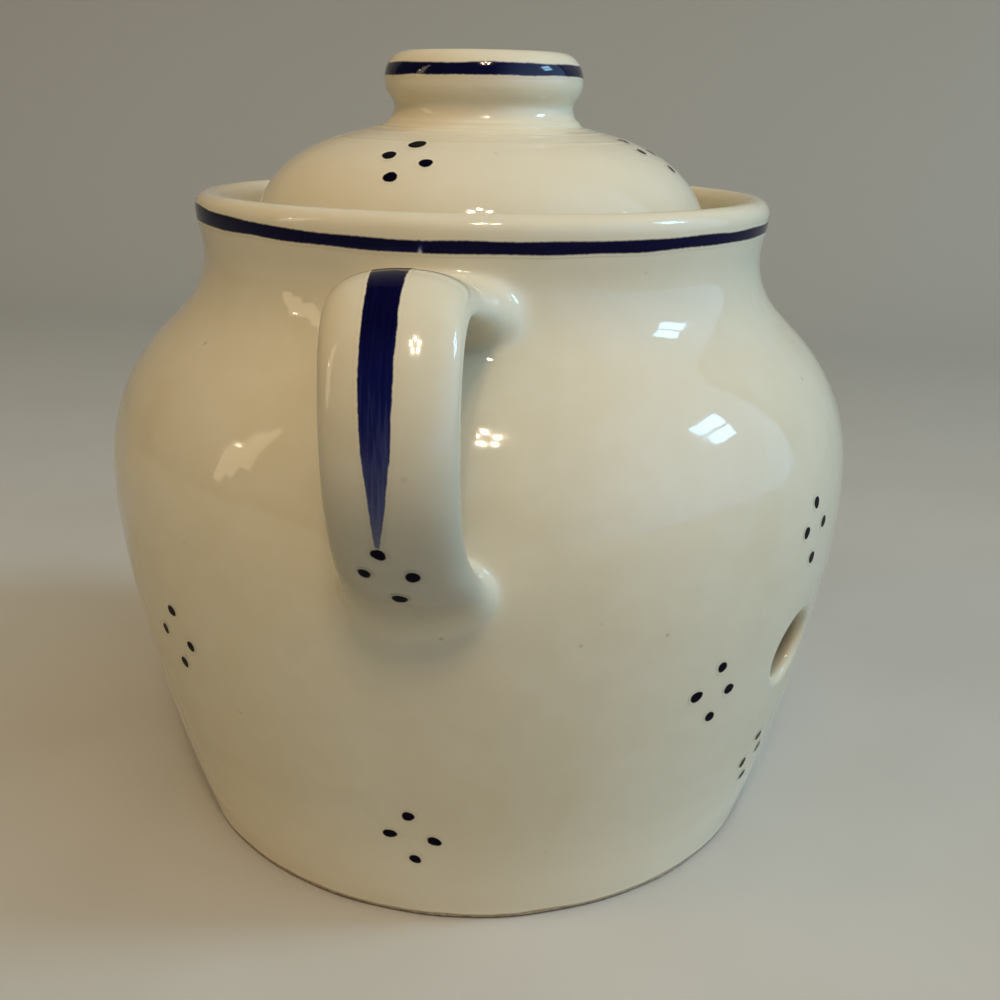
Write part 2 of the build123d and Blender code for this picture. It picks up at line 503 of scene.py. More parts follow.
def clay_on_wall(meet, spread, flip):
    """Where the wiped clay ends, spread on the wall round the points where the strap
    meets it: points, angles and ways up the outline, and the directions back."""
    girth = np.hypot(meet[:, 0], meet[:, 1]).mean()
    run = np.interp(meet[:, 2], wall_curve[:, 1], wall_run)
    flat = np.stack([girth * np.arctan2(meet[:, 1], meet[:, 0]), run], axis=1)
    along = np.roll(flat, -2, axis=0) - np.roll(flat, 2, axis=0)
    outward = spread * unit(np.stack([along[:, 1], -along[:, 0]], axis=1)) * flip
    turn, run = (flat + outward).T / [[girth], [1]]
    near_turn, near_run = (flat + 0.95 * outward).T / [[girth], [1]]
    end = wall_point(turn, run)
    return end, turn, run, unit(wall_point(near_turn, near_run) - end)


def strap_root(window, first, last, reach, spread, flip):
    """One end of the strap, on its lines from the share first to last. The wiped clay
    reaches up the strap and spreads on the wall, each by a function of the turn. Gives
    the steps round the root's window, the turn of each line and the share where its clay
    ends, and the rings from there over the clay and the wall to the window."""
    height, tall, wide = window
    steps = np.array(window_steps(tall, wide)) * (1, flip)
    window_turn = np.radians(COLUMN_ANGLE * steps[:, 0])
    window_run = np.interp(height + ROW_STEP * steps[:, 1], wall_curve[:, 1], wall_run)
    flat = np.stack([BELLY[0] * window_turn, window_run], axis=1)
    along = way_along(np.concatenate([flat, flat[:1]]))
    turns = section_turns(along[:-1] / along[-1])
    reach, spread = reach(turns)[:, None], spread(turns)[:, None]
    shares = shares_at_wall(first, last, turns)
    end, turn, run, wall_way = clay_on_wall(strap_points(shares, turns), spread, flip)
    forward = np.sign(last - first)
    shares += forward * reach[:, 0] / way_along(strap_curve)[-1]
    start = strap_points(shares, turns)
    strap_way = unit(strap_points(shares - forward * 0.002, turns) - start)
    pulls = start + CLAY_PULL * reach * strap_way, end + CLAY_PULL * spread * wall_way
    rings = [bezier(start, *pulls, end, t) for t in np.linspace(0, 1, 13)[1:]]
    for t in np.linspace(0, 1, 7)[1:-1]:
        rings.append(wall_point(turn + t * (window_turn - turn), run + t * (window_run - run)))
    return steps, turns, shares, rings


def strap_handle(skin, rows, first_outside):
    """The strap, grown out of its two windows in the jar's wall."""
    top_steps, top_turns, top_shares, top_rings = strap_root(
        ROOT_TOP, 0.0, 0.4,
        reach=lambda a: 4.0 + 2.5 * np.abs(np.cos(a)),
        spread=lambda a: 2.3 + 1.5 * np.cos(a) ** 2,
        flip=1,
    )
    low_steps, low_turns, low_shares, low_rings = strap_root(
        ROOT_BOTTOM, 1.0, 0.6,
        reach=lambda a: 3.0 + 5.0 * np.cos(a) ** 2 + 5.5 * np.clip(np.sin(a), 0, 1) ** 2,
        spread=lambda a: (2.4 + 1.4 * np.clip(np.sin(a), 0, 1) ** 2
                          - 1.6 * np.clip(np.cos(a), 0, 1) ** 2),
        flip=-1,
    )
    rings = top_rings[::-1]
    first = len(rings)
    for t in np.linspace(0, 1, 73):
        ease = smooth_step(t, 0, 1)
        share = (1 - t) * top_shares + t * low_shares
        rings.append(strap_points(share, (1 - ease) * top_turns + ease * low_turns))
    last = len(rings)
    rings += low_rings
    windows = []
    for (height, *_), steps in ((ROOT_TOP, top_steps), (ROOT_BOTTOM, low_steps)):
        middle = first_outside + nearest_row(WALL_LEVELS, height)
        windows.append([rows[middle + row][column % COLUMNS] for column, row in steps])
    rings = smoothed_rings(np.array(rings), first, last)
    skin.bridge(skin.grow(windows[0], rings), windows[1])


def smoothed_rings(rings, first, last, passes=10):
    """The strap's rings with both roots wiped smooth, up to a few rings on the strap."""
    number = np.arange(len(rings))
    into_strap = np.minimum(number - first, last - 1 - number)
    from_wall = np.minimum(number, len(rings) - 1 - number)
    share = 0.5 * np.clip((7 - into_strap) / 5, 0, 1) * np.clip(from_wall / 4, 0, 1)
    share = share[1:-1, None, None]
    for _ in range(passes):
        beside = np.roll(rings, 1, axis=1) + np.roll(rings, -1, axis=1)
        near = (beside[1:-1] + rings[:-2] + rings[2:]) / 4
        rings[1:-1] += share * (near - rings[1:-1])
    return rings


def jar_skin():
    """The jar with its vents and handle, as one closed skin."""
    skin = Skin()
    outline, first_outside, first_inside = jar_outline()
    outer_row = first_outside + nearest_row(WALL_LEVELS, VENT_HEIGHT)
    inner_row = first_inside + nearest_row(INSIDE_LEVELS, VENT_HEIGHT)
    columns = [round(angle / COLUMN_ANGLE) for angle in VENT_ANGLES]
    windows = [(row, column, *VENT_WINDOW) for row in (outer_row, inner_row) for column in columns]
    for height, tall, wide in (ROOT_TOP, ROOT_BOTTOM):
        windows.append((first_outside + nearest_row(WALL_LEVELS, height), 0, tall, wide))
    rows = revolved(skin, outline, windows)
    for angle, column in zip(VENT_ANGLES, columns):
        steps = window_steps(*VENT_WINDOW)
        outer = [rows[outer_row + row][(column + step) % COLUMNS] for step, row in steps]
        inner = [rows[inner_row - row][(column + step) % COLUMNS] for step, row in steps]
        vent_walls(skin, angle, outer, inner)
    strap_handle(skin, rows, first_outside)
    skin.points = [tuple(p) for p in sagged_rim(hand_made(skin.points))]
    return skin


def sagged_rim(points):
    """The rim a little lower at the back than over the handle."""
    out = np.array(points, float)
    back = 0.5 - 0.5 * np.cos(np.arctan2(out[:, 1], out[:, 0]) - radians(8))
    out[:, 2] -= RIM_SAG * back * smooth_step(out[:, 2], 102, 107)
    return out


# -------- lid

# Turned rings at the foot of the knob as (radius, height, swell)
RIPPLES = [(16.2, 120.9, 0.16), (17.9, 119.95, 0.13), (20.3, 119.5, 0.08), (24.6, 118.1, 0.06)]
RIPPLE_WIDTH = 0.40


def rippled(points):
    """The turned rings at the foot of the knob, as small swells along the outline."""
    line = np.array(points, float)
    along = np.gradient(line, axis=0)
    normal = unit(np.stack([-along[:, 1], along[:, 0]], axis=1))
    for radius, height, swell in RIPPLES:
        away = np.hypot(line[:, 0] - radius, line[:, 1] - height)
        line += normal * (swell * np.exp(-(away / RIPPLE_WIDTH) ** 2))[:, None]
    return [tuple(p) for p in line]


def lid_outline():
    """The lid's outline from the knob's top, over the dome and the collar, to its hollow."""
    crown = (0, KNOB_TOP[1] + KNOB_CROWN)
    top = [crown] + [(r, KNOB_TOP[1] + KNOB_CROWN * (1 - (r / KNOB_TOP[0]) ** 2))
                     for r in np.linspace(1, KNOB_TOP[0], 10)[:-1]]
    bead = arc((KNOB_TOP[0], BEAD[1]), (BEAD[0] - KNOB_TOP[0], KNOB_TOP[1] - BEAD[1]), 90, 0, 17)
    side = smooth_curve([BEAD, WAIST, SEAT], start=(0, -1), end=(1, -0.6), count=50)[1:-1]
    edge_top = (LID_RADIUS - 2.0, LEDGE_HEIGHT + LID_EDGE)
    dome = smooth_curve([SEAT, *DOME, edge_top], start=(1, -0.22), end=(1, -0.1), count=801)
    dome = dome[np.round(800 * np.linspace(0, 1, 140) ** 1.5).astype(int)][:-1]
    outer = rippled(eased([*map(tuple, side), *map(tuple, dome)], SEAT))
    edge = arc_through(edge_top, (LID_RADIUS, LEDGE_HEIGHT + LID_EDGE / 2),
                       (LID_RADIUS - 1.0, LEDGE_HEIGHT), 11)
    rest = between((LID_RADIUS - 1.0, LEDGE_HEIGHT), (COLLAR_RADIUS + 0.6, LEDGE_HEIGHT), 3)
    rest += arc((COLLAR_RADIUS + 0.6, LEDGE_HEIGHT - 0.6), 0.6, 90, 180, 4)
    low = LEDGE_HEIGHT - COLLAR_DEPTH
    hollow = COLLAR_RADIUS - COLLAR_WALL
    round_end = low + COLLAR_ROUNDING
    collar = between((COLLAR_RADIUS, LEDGE_HEIGHT - 0.6), (COLLAR_RADIUS, round_end), 4)
    collar += arc((COLLAR_RADIUS - COLLAR_ROUNDING, round_end), COLLAR_ROUNDING, 0, -90, 6)
    collar += arc((hollow + COLLAR_ROUNDING, round_end), COLLAR_ROUNDING, 270, 180, 6)
    collar += between((hollow, round_end), (hollow, LEDGE_HEIGHT + LID_EDGE), 6)
    roof = SEAT[1] - LID_WALL
    under = smooth_curve([(hollow, LEDGE_HEIGHT + LID_EDGE), *DOME_HOLLOW, (SEAT[0] - 1, roof)],
                         start=(0, 1), end=(-1, 0), count=26)
    middle = [(r, roof) for r in (13, 9, 5, 2, 0)]
    return top + bead + outer + edge + rest + collar + [tuple(p) for p in under] + middle


def eased(points, corner, reach=2.4):
    """The points with the corner among them worn round, as glaze fills it."""
    line = np.array(points, float)
    away = np.hypot(*(line - corner).T)
    for _ in range(40):
        middle = (np.roll(line, 1, axis=0) + np.roll(line, -1, axis=0)) / 2
        share = 0.5 * np.clip(1 - away / reach, 0, 1)[:, None]
        line[1:-1] += (share * (middle - line))[1:-1]
    return [tuple(p) for p in line]


def lid_skin():
    """The lid with its knob, as one closed skin."""
    skin = Skin()
    revolved(skin, lid_outline()[::-1])
    skin.points = hand_made(skin.points)
    below = np.clip((SEAT[1] + 1 - skin.points[:, 2]) / 3, 0, 1)
    skin.points[:, 1] += LID_SHIFT[0] + (LID_SHIFT[1] - LID_SHIFT[0]) * below
    skin.points = [tuple(p) for p in skin.points]
    return skin


# -------- paint

def laid_on(tree, points):
    """The points moved onto a surface, and a little out of it."""
    found = [tree.find_nearest(Vector(point))[:2] for point in points]
    return [place + PAINT_LIFT * normal for place, normal in found]


# Sides of a dot, and how far every patch reaches past the edge of its paint
DOT_SIDES = 28
PAINT_MARGIN = 0.35


def add_dot(skin, tree, centre, side, up, size, stretch, lean):
    """One dab of paint: rings of a slightly stretched and leaning disc."""
    turns = np.linspace(0, 2 * pi, DOT_SIDES, endpoint=False)
    wobble = 1 + 0.05 * np.sin(2 * turns + 7 * centre[2])
    wobble += 0.03 * np.sin(3 * turns + 5 * centre[0])
    outermost = size / 2 + PAINT_MARGIN
    loops = []
    for reach in (outermost, size / 2 + 0.12, size / 2 - 0.1, size / 3, size / 6):
        u = reach * stretch * np.cos(turns) * wobble
        v = reach / stretch * np.sin(turns) * wobble
        along = u * cos(lean) - v * sin(lean)
        above = u * sin(lean) + v * cos(lean)
        points = centre + along[:, None] * side + above[:, None] * up
        marks = {"depth": outermost - reach, "load": 1, "side": 0, "along": 0}
        loops.append(skin.loop(laid_on(tree, points), **marks))
    for one, other in zip(loops, loops[1:]):
        skin.bridge(one, other)
    marks["depth"] = outermost
    skin.fan(loops[-1], laid_on(tree, [centre])[0], **marks)


# Places of a strip's lines, from one edge to the other
STRIP_SHARES = np.linspace(-1, 1, 13)[:, None]


def strip(tree, lines, **marks):
    """A strip of paint: an array of lines of points that run along it, side by side."""
    skin = Skin()
    loops = [skin.loop(laid_on(tree, line)) for line in lines]
    for one, other in zip(loops, loops[1:]):
        skin.bridge(one, other, closed=False)
    for name, values in marks.items():
        skin.marks[name] = np.broadcast_to(values, lines.shape[:2]).ravel().tolist()
    return skin


# Clusters of four dots on the wall as (angle, height) of the top, left, right and bottom
# dot. The first five are seen in the photograph.
WALL_CLUSTERS = [
    [(-39.4, 49.6), (-43.2, 44.8), (-36.1, 44.6), (-39.4, 40.3)],
    [(-2.0, 23.2), (-5.1, 19.0), (1.7, 18.3), (-1.5, 13.9)],
    [(42.8, 45.4), (39.0, 41.3), (45.4, 40.5), (42.7, 36.3)],
    [(61.0, 66.9), (58.3, 62.8), (64.3, 62.7), (61.2, 57.7)],
    [(61.3, 23.5), (58.1, 19.4), (63.9, 19.7), (60.6, 15.4)],
    [(81.9, 45.8), (78.8, 41.0), (85.2, 41.4), (82.2, 36.6)],
]
# The clusters on the far side repeat these, each after a turn and a rise of its own
FAR_SHIFTS = [(180.8, 0.6), (181.5, -0.4), (180.4, 0.3), (179.2, -0.5), (181.1, 0.4), (179.6, 0)]
# Clusters on the dome as (angle, radius, size) in the same order. Two of them are seen.
LID_CLUSTERS = [
    [(-14.9, 25.8, 2.7), (-20.8, 29.3, 2.3), (-8.1, 30.7, 2.1), (-16.1, 33.4, 2.25)],
    [(80.6, 24.0, 2.3), (74.6, 27.8, 2.1), (87.0, 28.4, 2.2), (81.1, 32.3, 2.1)],
    [(168.8, 25.2, 2.2), (162.9, 28.9, 2.3), (175.2, 29.6, 2.1), (169.4, 33.0, 2.2)],
    [(261.6, 24.6, 2.1), (255.4, 28.4, 2.2), (267.9, 29.0, 2.1), (260.9, 32.5, 2.3)],
]
# Dots on the strap as (reach, side, height, size, lean)
STRAP_DOTS = [(79.9, -0.77, 74.1, 1.92, -0.3), (77.8, -3.02, 70.7, 1.7, -0.3),
              (77.9, 2.93, 70.6, 1.95, -0.65), (75.2, 0.7, 66.4, 1.95, -0.6)]
DOT_SIZE = 2.05
# Rise of the dome under its dots for each step towards the knob
DOME_SLOPE = 0.45


def jar_dots(tree):
    """The dots in fours on the jar's wall."""
    skin = Skin()
    clusters = list(WALL_CLUSTERS)
    for cluster, (turn, rise) in zip(WALL_CLUSTERS, FAR_SHIFTS):
        clusters.append([(angle + turn, height + rise) for angle, height in cluster])
    chance = np.random.default_rng(7)
    for cluster in clusters:
        for angle, height in cluster:
            out, side = facing(angle)
            centre = wall_radius(height) * out + height * UP
            size = DOT_SIZE * chance.uniform(0.92, 1.08)
            stretch, lean = chance.uniform(1.0, 1.1), chance.uniform(-0.6, 0.2)
            add_dot(skin, tree, centre, side, UP, size, stretch, lean)
    return skin


def lid_dots(tree):
    """The dots in fours on the lid's dome."""
    skin = Skin()
    outline = np.array(lid_outline())
    outline = outline[:np.argmax(outline[:, 0])]
    dome = outline[(outline[:, 0] > SEAT[0] + 2) & (outline[:, 1] < SEAT[1])]
    chance = np.random.default_rng(11)
    for cluster in LID_CLUSTERS:
        for angle, radius, size in cluster:
            out, side = facing(angle)
            centre = radius * out + np.interp(radius, dome[:, 0], dome[:, 1]) * UP
            up = (DOME_SLOPE * UP - out) / np.hypot(1, DOME_SLOPE)
            stretch, lean = chance.uniform(1.0, 1.1), chance.uniform(-0.2, 0.6)
            add_dot(skin, tree, centre, side, up, size, stretch, lean)
    return skin


def handle_dots(tree):
    """The four dots below the stroke on the strap."""
    skin = Skin()
    side, up = np.array([0, 1.0, 0]), np.array([0.5, 0, 0.87])
    for *centre, size, lean in STRAP_DOTS:
        add_dot(skin, tree, np.array(centre), side, up, size, 1.06, lean)
    return skin


# The painted rings as (height, half width), and the angle where the rim's ring is highest
RIM_BAND = (105.68, 0.86)
RIM_BAND_CREST = 298
KNOB_BAND = (128.78, 0.93)


def band(tree, angles, radius_at, centre_at, half_at, load_at):
    """A painted ring: a strip that follows a wavering line round a turned surface. Its two
    ends meet, and only its load of paint shows where."""
    half = half_at(angles) + PAINT_MARGIN
    side = STRIP_SHARES * half
    height = centre_at(angles) + side
    radius, turns = radius_at(height), np.radians(angles)
    return strip(tree, round_axis(radius, turns, height), depth=half - abs(side),
                 load=load_at(angles, STRIP_SHARES), side=side, along=turns * radius)


def wave(degrees):
    """Sine of an angle in degrees."""
    return np.sin(np.radians(degrees))


def rim_band(tree):
    """The cobalt ring under the lip. The brush starts and stops just over the handle."""
    start, middle, end = np.linspace(0, 2, 9), np.linspace(2, 358, 475), np.linspace(358, 360, 9)
    angles = np.concatenate([start[:-1], middle, end[1:]]) - 2

    def centre(a):
        waver = 0.05 * wave(9 * a) + 0.04 * wave(17 * a)
        return RIM_BAND[0] + 1.1 * np.exp(-((a - RIM_BAND_CREST) / 36) ** 2) + waver

    def half(a):
        swell = 0.05 * wave(4 * a + 30) + 0.04 * wave(23 * a)
        return RIM_BAND[1] + swell + 0.40 * np.exp(-((a - RIM_BAND_CREST) / 30) ** 2)

    def load(a, share):
        """Thin where the brush's end meets its start, most of all in the lower half."""
        dry = np.exp(-np.clip((358 - a) / 26, 0, 9) ** 2) * np.clip(-share, 0, 1)
        gap = np.minimum(a + 2, 358 - a)
        return 1 - 0.3 * dry - np.exp(-(gap / 0.5) ** 2) * np.clip(0.45 - 0.7 * share, 0, 0.9)

    return band(tree, angles, wall_radius, centre, half, load)


def knob_band(tree):
    """The cobalt ring round the knob's bead."""
    outline = np.array(lid_outline()[:80])
    bead = outline[(outline[:, 1] > WAIST[1]) & (outline[:, 0] > WAIST[0])]
    bead = bead[np.argsort(bead[:, 1])]
    angles = np.arange(130.0, 490.5, 1.5)

    def radius(height):
        return np.interp(height, bead[:, 1], bead[:, 0])

    def centre(a):
        return KNOB_BAND[0] + 0.06 * wave(2 * a) + 0.04 * wave(7 * a)

    def half(a):
        return KNOB_BAND[1] + 0.05 * wave(5 * a) + 0.03 * wave(13 * a)

    def load(a, share):
        return 1 - 0.15 * np.abs(share) * (0.5 + 0.5 * wave(3 * a))

    return band(tree, angles, radius, centre, half, load)


# The stroke down the strap as (reach, height, left edge, right edge)
STROKE = [(62.6, 103.9, -3.9, 0.45), (66.0, 104.95, -3.95, 0.75), (69.2, 105.0, -3.72, 0.78),
          (72.5, 103.8, -3.32, 0.94), (74.4, 102.4, -3.18, 1.0), (77.0, 99.5, -3.02, 1.18),
          (78.9, 96.5, -2.88, 1.24), (80.4, 93.4, -2.65, 1.33), (81.5, 90.3, -2.35, 1.4),
          (82.2, 87.1, -2.0, 1.36), (82.5, 83.6, -1.54, 1.04), (82.0, 79.9, -1.2, 0.52),
          (80.6, 75.8, -1.02, -0.3), (80.2, 74.9, -0.95, -0.55)]


def handle_stroke(tree):
    """The brush stroke down the strap: loaded at its start, tapering and thin at its end."""
    line = smooth_curve(STROKE, count=140)
    along = way_along(line[:, :2])
    left, right = line[:, 2], line[:, 3]
    rough = 0.025 * np.sin(0.9 * along) + 0.015 * np.sin(2.1 * along + 1)
    middle = (left + right) / 2 + 0.5 * rough
    half = np.maximum((right - left) / 2 + rough, 0.1) + PAINT_MARGIN
    ends = np.minimum(along, along[-1] - along + 0.4)
    fade = np.clip((along / along[-1] - 0.35) / 0.65, 0, 1) ** 0.8
    load = 1 - 0.62 * fade - 0.18 * np.exp(-(along / 2.2) ** 2)
    side = STRIP_SHARES * half
    rows = np.stack(np.broadcast_arrays(line[:, 0], middle + side, line[:, 1]), axis=-1)
    depth = np.minimum(half - abs(side), ends)
    return strip(tree, rows, depth=depth, load=load, side=side, along=along)


# -------- materials

def srgb(*screen):
    """Linear colour of a screen colour given from 0 to 255."""
    shares = [value / 255 for value in screen]
    return (*(s / 12.92 if s <= 0.04045 else ((s + 0.055) / 1.055) ** 2.4 for s in shares), 1.0)


CREAM = srgb(201, 193, 167)
CREAM_WARM = srgb(197, 185, 151)
CREAM_PALE = srgb(206, 201, 181)
# Painted light: the paler cream that stands for light from the floor at the foot and from above on
# the lid
CREAM_PAINTED_LIGHT = srgb(222, 212, 184)
# Painted shade: the greyer cream down the strap's lower part
CREAM_PAINTED_SHADE = srgb(168, 162, 141)
SPECK = srgb(150, 132, 100)
CLAY = srgb(190, 172, 142)
CLAY_DARK = srgb(120, 98, 70)
# Brown of the glaze's broken edge at the foot, also used as a painted contact shadow there and as
# painted shade inside the vents
GLAZE_EDGE_AND_SHADE = srgb(128, 106, 76)
COBALT_DEEP = srgb(6, 5, 38)
COBALT = srgb(14, 18, 66)
COBALT_THIN = srgb(66, 72, 108)
DOT_DEEP = srgb(8, 5, 20)
DOT_EDGE = srgb(30, 26, 56)
# How far the edge of the paint strays
FRAY = 0.22


class Shader:
    """A material or a world, with short calls for the nodes that it is made of."""

    def __init__(self, owner):
        owner.use_nodes = True
        self.owner = owner
        self.tree = owner.node_tree
        self.tree.nodes.clear()

    def add(self, kind, inputs=(), **settings):
        """A node with its settings, and its inputs by name or number."""
        made = self.tree.nodes.new(kind)
        for key, value in settings.items():
            setattr(made, key, value)
        for key, value in dict(inputs).items():
            if isinstance(value, bpy.types.NodeSocket):
                self.tree.links.new(value, made.inputs[key])
            else:
                made.inputs[key].default_value = value
        return made

    def math(self, operation, one, other=0.0):
        return self.add("ShaderNodeMath", {0: one, 1: other}, operation=operation).outputs[0]

    def times(self, one, other):
        return self.math("MULTIPLY", one, other)

    def place(self):
        """Coordinates in the shared frame, in metres."""
        return self.add("ShaderNodeTexCoord").outputs["Object"]

    def parts(self, place):
        """The three coordinates of a place."""
        return self.add("ShaderNodeSeparateXYZ", {0: place}).outputs

    def noise(self, place, size, detail=2.0, roughness=0.5, distortion=0.0):
        """Noise from 0 to 1 whose features measure about size, in millimetres."""
        inputs = {"Vector": place, "Scale": 1 / (size * MM), "Detail": detail,
                  "Roughness": roughness, "Distortion": distortion}
        return self.add("ShaderNodeTexNoise", inputs).outputs[0]

    def mark(self, name):
        """A number that the mesh keeps for each point."""
        return self.add("ShaderNodeAttribute", attribute_name=name).outputs["Fac"]

    def ramp(self, value, low, high, start=0.0, end=1.0):
        """Smooth step of a value between two limits, from start to end."""
        inputs = {"Value": value, "From Min": low, "From Max": high, "To Min": start, "To Max": end}
        return self.add("ShaderNodeMapRange", inputs, interpolation_type="SMOOTHSTEP").outputs[0]

    def mix(self, share, one, other):
        """Colour between two colours."""
        return self.add("ShaderNodeMix", {0: share, 6: one, 7: other}, data_type="RGBA").outputs[2]

    def relief(self, height, strength=1.0):
        """Bumped normal of a height in millimetres."""
        inputs = {"Strength": strength, "Distance": MM, "Height": height}
        return self.add("ShaderNodeBump", inputs).outputs[0]

    def end(self, kind, surface):
        """Ends the nodes in a surface, and gives the material or world."""
        self.tree.links.new(surface.outputs[0], self.add(kind).inputs["Surface"])
        return self.owner

    def finish(self, **inputs):
        """The material with its surface. A plain number goes on the shader's own socket."""
        inputs = {name.replace("_", " "): value for name, value in inputs.items()}
        surface = self.add("ShaderNodeBsdfPrincipled", inputs)
        return self.end("ShaderNodeOutputMaterial", surface)


def cylinder_place(shader, place):
    """Radius and height of a place, in millimetres."""
    x, y, z = shader.parts(place)
    squares = shader.math("ADD", shader.times(x, x), shader.times(y, y))
    return shader.times(shader.math("SQRT", squares), 1 / MM), shader.times(z, 1 / MM)


def glaze_colour(shader, place):
    """Cream glaze: broad drifts of warmth, fine mottle and a few iron specks. It is painted paler
    above the foot and from the neck up over the lid, as painted light, and greyer down the strap,
    as painted shade."""
    drift = shader.ramp(shader.noise(place, 34, 2.0, 0.45, 0.4), 0.35, 0.72)
    colour = shader.mix(shader.times(drift, 0.5), CREAM, CREAM_WARM)
    mottle = shader.ramp(shader.noise(place, 4.5, 3.0, 0.55), 0.35, 0.75)
    colour = shader.mix(shader.times(mottle, 0.28), colour, CREAM_PALE)
    cells = shader.add("ShaderNodeTexVoronoi", {"Vector": place, "Scale": 1 / (5.5 * MM)})
    chosen = shader.add("ShaderNodeSeparateColor", {0: cells.outputs["Color"]}).outputs[0]
    rare = shader.math("GREATER_THAN", chosen, 0.86)
    spot = shader.ramp(cells.outputs["Distance"], 0.10, 0.03)
    colour = shader.mix(shader.times(shader.times(rare, spot), 0.5), colour, SPECK)
    x, _, z = shader.parts(place)
    # Painted light: paler towards the foot, for light thrown up from the floor, and paler from the
    # neck up over the lid, for light from above
    foot_light = shader.ramp(z, 27 * MM, 2 * MM)
    top_light = shader.ramp(z, 94 * MM, 114 * MM, 0.0, 0.38)
    colour = shader.mix(shader.math("MAXIMUM", foot_light, top_light), colour, CREAM_PAINTED_LIGHT)
    # Painted shade: greyer down the strap's lower part, which faces down, away from the light above
    thin = shader.times(shader.ramp(x, 66 * MM, 73 * MM), shader.ramp(z, 101 * MM, 73 * MM))
    return shader.mix(thin, colour, CREAM_PAINTED_SHADE)


def glaze_relief(shader, place, height):
    """Height of the glaze in millimetres: slow ripples, faint throwing rings, orange peel."""
    ripple = shader.times(shader.noise(place, 17, 1.5, 0.4, 0.3), 0.34)
    fine = shader.times(shader.noise(place, 5.5, 2.0, 0.5), 0.035)
    peel = shader.times(shader.noise(place, 0.9, 1.0), 0.0016)
    drift = shader.times(shader.noise(place, 40, 1.0), 14.0)
    turns = shader.times(shader.math("ADD", height, drift), 2 * pi / 6.5)
    rings = shader.times(shader.math("SINE", turns), 0.008)
    slow, quick = shader.math("ADD", ripple, fine), shader.math("ADD", peel, rings)
    return shader.relief(shader.math("ADD", slow, quick))


def glaze(name, bare, paint=None, specular=0.5):
    """Glossy cream glaze. bare(shader, radius, height, place) gives the share left
    unglazed and the share turned brown, where the glaze's edge breaks and where shade is
    painted, and paint(shader, place) the share and colour of what is painted on it."""
    shader = Shader(bpy.data.materials.new(name))
    place = shader.place()
    radius, height = cylinder_place(shader, place)
    colour = glaze_colour(shader, place)
    gloss = shader.ramp(shader.noise(place, 9, 2.0), 0.3, 0.7, 0.035, 0.095)
    if bare:
        share, broken_and_shade = bare(shader, radius, height, place)
        grain = shader.ramp(shader.noise(place, 1.3, 4.0, 0.65), 0.35, 0.7)
        # Brown where the glaze's edge breaks at the foot, with a painted contact shadow there, and
        # painted shade inside the vents
        colour = shader.mix(shader.times(broken_and_shade, 0.8), colour, GLAZE_EDGE_AND_SHADE)
        colour = shader.mix(share, colour, shader.mix(grain, CLAY, CLAY_DARK))
        gloss = shader.math("MAXIMUM", gloss, shader.times(share, 0.78))
    if paint:
        share, cover = paint(shader, place)
        colour = shader.mix(share, colour, cover)
    return shader.finish(
        Base_Color=colour, Roughness=gloss, IOR=1.52, Specular_IOR_Level=specular,
        Normal=glaze_relief(shader, place, height),
    )


def jar_bare(shader, radius, height, place):
    """Bare clay on the foot ring and on the ledge for the lid, and brown along the glaze's
    edge at the foot, partly its real edge and partly a painted contact shadow, and darker on the
    walls of the vents, as painted shade."""
    edge = shader.math("SUBTRACT", height, shader.times(shader.noise(place, 7, 3.0), 0.9))
    foot = shader.ramp(edge, 0.55, 0.35)
    # Brown line at the foot: partly the glaze's real edge, partly a painted contact shadow where
    # the jar meets the floor
    line = shader.times(shader.ramp(edge, 0.3, 0.5), shader.ramp(edge, 1.0, 0.55))
    seat = shader.times(shader.ramp(height, 99.9, 100.3), shader.ramp(height, 101.6, 101.2))
    seat = shader.times(seat, shader.ramp(radius, 43.9, 43.4))
    # Painted shade: the walls inside the vents darkened
    vent = shader.times(shader.ramp(height, 34.3, 35.3), shader.ramp(height, 47.7, 46.7))
    vent = shader.times(vent, shader.ramp(radius, 61.3, 59.2, 0.0, 0.6))
    return shader.math("MAXIMUM", foot, seat), shader.math("MAXIMUM", line, vent)


def lid_bare(shader, radius, height, place):
    """Bare clay where the lid rests on the ledge."""
    stray = shader.math("ADD", radius, shader.times(shader.noise(place, 5, 3.0), 0.8))
    rest = shader.times(shader.ramp(height, 100.2, 100.6), shader.ramp(height, 102.4, 101.7))
    return shader.times(rest, shader.ramp(stray, 36.0, 36.6)), 0.0


def cobalt(edge_width, deep=COBALT_DEEP, full=COBALT, thin=COBALT_THIN):
    """Brushed cobalt under the glaze, as paint for glaze(): streaks along the brush, a
    feathered edge, and a thin wash where the brush was dry."""

    def paint(shader, place):
        depth, load = shader.mark("depth"), shader.mark("load")
        side, along = shader.mark("side"), shader.mark("along")
        brush = shader.add("ShaderNodeCombineXYZ", {0: side, 1: shader.times(along, 0.06)})
        bristles = {"Vector": brush.outputs[0], "Scale": 2.6, "Detail": 3.0}
        streak = shader.add("ShaderNodeTexNoise", bristles).outputs[0]
        fray = shader.times(shader.noise(place, 0.7, 3.0, 0.6), FRAY)
        edge = PAINT_MARGIN - FRAY / 2
        inner = shader.math("SUBTRACT", depth, fray)
        share = shader.ramp(inner, edge - edge_width, edge + edge_width)
        worn = shader.math("SUBTRACT", shader.times(load, 1.15), shader.times(streak, 0.55))
        tone = shader.mix(shader.ramp(worn, 0.10, 0.62), thin, full)
        tone = shader.mix(shader.ramp(worn, 0.50, 0.95), tone, deep)
        return shader.times(share, shader.ramp(load, 0.0, 0.55, 0.35, 1.0)), tone

    return paint


jar_glaze = glaze("jar_glaze", jar_bare)
lid_glaze = glaze("lid_glaze", lid_bare)
